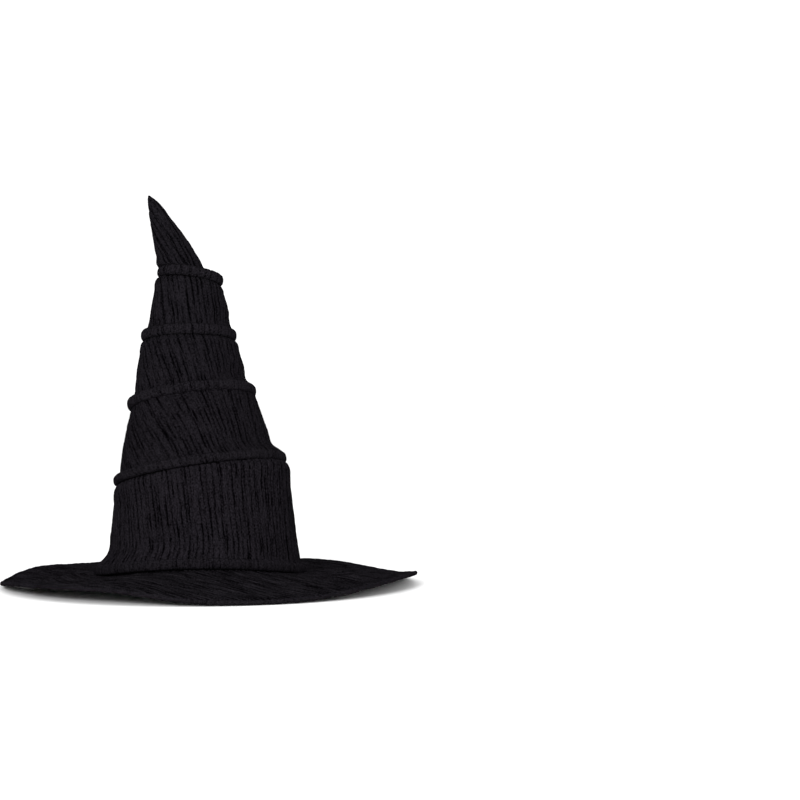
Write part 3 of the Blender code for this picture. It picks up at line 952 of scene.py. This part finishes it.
# mm: profile is how far from the first welt's ring, and how high over it, from the wall to
# the middle; the gathers are whole from its start share, and have gone at its end share
domeShape = {"columns": 900, "rows": 90,
             "profile": ((-1.2, -10.6), (-8.0, 0), (-14.0, 10), (-26.0, 18.5),
                         (-44.0, 24.5), (-64.0, 27.4), (-79.6, 28.1)),
             "gathers": (3.2, 30), "shift": (70, 5), "seed": 79, "depth": 0.6, "start": 0.04,
             "end": 0.55, "fade": 0.5, "narrow": 0.97, "cut": (0.19, 0.19), "cutArea": 0.0284}


def liningDome():
    # the lining's top, gathered where it joins the wall
    shape, turn, ring = domeShape, bandTurns(domeShape["columns"]), rings[1]
    knots = [ring.loop(turn, ring.radius + reach * mm + 0 * turn, height * mm)
             for reach, height in shape["profile"]]
    points, along = through(knots, shape["rows"])
    share = along[:, None] / along[-1]
    across = turn[None] * ring.radius * (1 - shape["narrow"] * share)
    up = along[:, None] + 0 * across
    gathers = noiseOver(turn[None] * ring.radius, up, shape["gathers"], shape["shift"],
                        shape["seed"])
    fade = smooth((shape["end"] - share) / shape["fade"]) * smooth(share / shape["start"])
    depth = shape["depth"] + gathers * shape["depth"]
    points -= outward(points) * (depth * fade * mm)[..., None]
    piece = gridPiece("crown_lining_dome", points, lining, spread(across, up))
    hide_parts("crown_lining_tip")
    return piece


# mm, but for wallRow, where the ribbon meets the wall, and pastHalf, in rows of the band
bandRibbon = {"columns": 2400, "rows": 22, "wallRows": 64, "gap": 0.2, "wallRow": 9,
              "pastHalf": 4, "foot": -7.6, "depth": 30, "rib": 1.0, "ribHeight": 0.11,
              "hem": 1.5, "sewn": 0.25, "sewnWidth": 0.7, "stitchLift": 3.0,
              "cut": (0.60, 0.032)}
ribbonRadius = np.hypot(*(nodePoints("sweatband") - seam.centre)[:, :2].T).min()


def ribbonSurface(columns, rows):
    # the ribbon stands up from under the brim, then leans in along the lining's wall
    shape = bandRibbon
    wall, along, turn = bandSurface(1, columns, shape["wallRows"], bandShape["ribbon"] * mm)
    low = seam.loop(turn, ribbonRadius - shape["gap"] * mm + 0 * turn, shape["foot"] * mm)
    meet = wall[shape["wallRow"]]
    rise = (shape["depth"] + shape["foot"]) * mm
    top = int(np.argmin(np.abs(along - rise)))
    knots = [low, low + (meet - low) * 0.5, meet, wall[top // 2 + shape["pastHalf"]], wall[top]]
    return (*through(knots, rows), turn)


def sweatRibbon():
    shape = bandRibbon
    points, along, turn = ribbonSurface(shape["columns"], shape["rows"])
    across = turn[None] * seam.radius + 0 * along[:, None]
    up = along[:, None] + 0 * across
    ribs = np.cos(across / (shape["rib"] * mm) * math.tau) * shape["ribHeight"]
    hem, width = shape["hem"] * mm, shape["sewnWidth"] * mm
    edge = smooth(up / hem) * smooth((along[-1] - up) / hem)
    sewn = np.exp(-((up - shape["stitchLift"] * mm) / width) ** 2) * shape["sewn"]
    points += outward(points) * ((ribs * edge + sewn) * mm)[..., None]
    piece = gridPiece("sweatband_ribbon", points, ribbon,
                      spread(across, up), flip=True)
    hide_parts("sweatband")
    return piece


# mm; along is the share of half a stitch's length, and the share of its thickness there
stitchShape = {"length": 2.3, "pitch": 3.6, "radius": 0.22, "lift": 0.1, "crown": 0.12,
               "along": ((-1, 0.12), (-0.7, 0.8), (0, 1), (0.7, 0.8), (1, 0.12)),
               "corners": 6}


def ribbonStitches():
    # a row of short straight stitches near the ribbon's lower edge
    shape, corners = stitchShape, stitchShape["corners"]
    count = int(math.tau * seam.radius / (shape["pitch"] * mm))
    points, along = ribbonSurface(count, bandRibbon["rows"])[:2]
    inward = -outward(points)
    row = int(np.argmin(np.abs(along - bandRibbon["stitchLift"] * mm)))
    middle, normal = points[row], inward[row]
    length = np.roll(middle, -1, 0) - middle
    length /= np.linalg.norm(length, axis=1, keepdims=True)
    side = np.cross(normal, length)
    vertices, faces = [], []
    for k in range(count):
        start = len(vertices)
        for share, size in shape["along"]:
            centre = middle[k] + length[k] * share * shape["length"] / 2 * mm
            centre = centre + normal[k] * (shape["lift"] + shape["crown"] * size) * mm
            for corner in range(corners):
                angle = corner * math.tau / corners
                way = side[k] * math.cos(angle) + normal[k] * math.sin(angle)
                vertices.append(centre + way * shape["radius"] * size * mm)
        for ring in range(len(shape["along"]) - 1):
            first = start + ring * corners
            for corner in range(corners):
                a, b = first + corner, first + (corner + 1) % corners
                faces.append((a, b, b + corners, a + corners))
        faces.append(tuple(range(start + corners - 1, start - 1, -1)))
        faces.append(tuple(range(len(vertices) - corners, len(vertices))))
    mesh = bpy.data.meshes.new("sweatband_stitches")
    mesh.from_pydata(vertices, [], faces)
    mesh.materials.append(thread)
    mesh.shade_smooth()
    piece = placed("sweatband_stitches", mesh)
    return piece


for piece in (liningSide(), liningDome(), sweatRibbon(), ribbonStitches()):
    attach(piece, lowerBody)
    print("inside", piece.name, round(surfaceArea(piece), 5))


floorShape = {"radius": 60, "corners": 96, "gap": 0.1 * mm,
              "tones": ((0.86, 0.86, 0.86), (0.90, 0.90, 0.90))}
lights = {"keyLight": {"place": (-1.1, -2.9, 1.2), "size": 1.0, "power": 85},
          "sideLight": {"place": (2.4, -1.4, 1.2), "size": 1.2, "power": 16},
          "backLight": {"place": (0.4, 2.8, 1.6), "size": 1.6, "power": 8}}
lightTarget = (0, 0, 0.15)
studioLight = 1.15


def floor():
    # a wide pale disc just under the hat
    mesh = bpy.data.meshes.new("floor")
    count, radius = floorShape["corners"], floorShape["radius"]
    turn = np.linspace(0, math.tau, count, endpoint=False)
    corners = [(radius * math.cos(t), radius * math.sin(t), 0) for t in turn]
    mesh.from_pydata([(0, 0, 0)] + corners, [],
                     [(0, 1 + i, 1 + (i + 1) % count) for i in range(count)])
    finish = Finish("paleFloor", Specular_IOR_Level=0.1)
    place = finish.node("ShaderNodeTexCoord", output="Object")
    clouds = finish.noise(place, 2.0, 3, 0.5)
    finish.feed("Base Color", finish.between(clouds, *floorShape["tones"]))
    finish.feed("Roughness", 0.8 + (clouds - 0.5) * 0.1)
    mesh.materials.append(finish.material)
    made = placed("floor", mesh)
    made.location.z = min(cadLow[2], 0) - floorShape["gap"]


def softLight(name, place, size, power):
    data = bpy.data.lights.new(name, "AREA")
    data.shape, data.size, data.energy = "DISK", size, power
    lamp = placed(name, data)
    lamp.location = place
    away = np.array(lightTarget) - np.array(place)
    flatAway = math.hypot(away[0], away[1])
    lamp.rotation_euler = (math.atan2(flatAway, -away[2]), 0, math.atan2(-away[0], away[1]))


floor()
for name, light in lights.items():
    softLight(name, **light)
world = bpy.data.worlds.new("studio")
world.use_nodes = True
world.node_tree.nodes["Background"].inputs["Color"].default_value = (1, 1, 1, 1)
world.node_tree.nodes["Background"].inputs["Strength"].default_value = studioLight
bpy.context.scene.world = world

print("done")
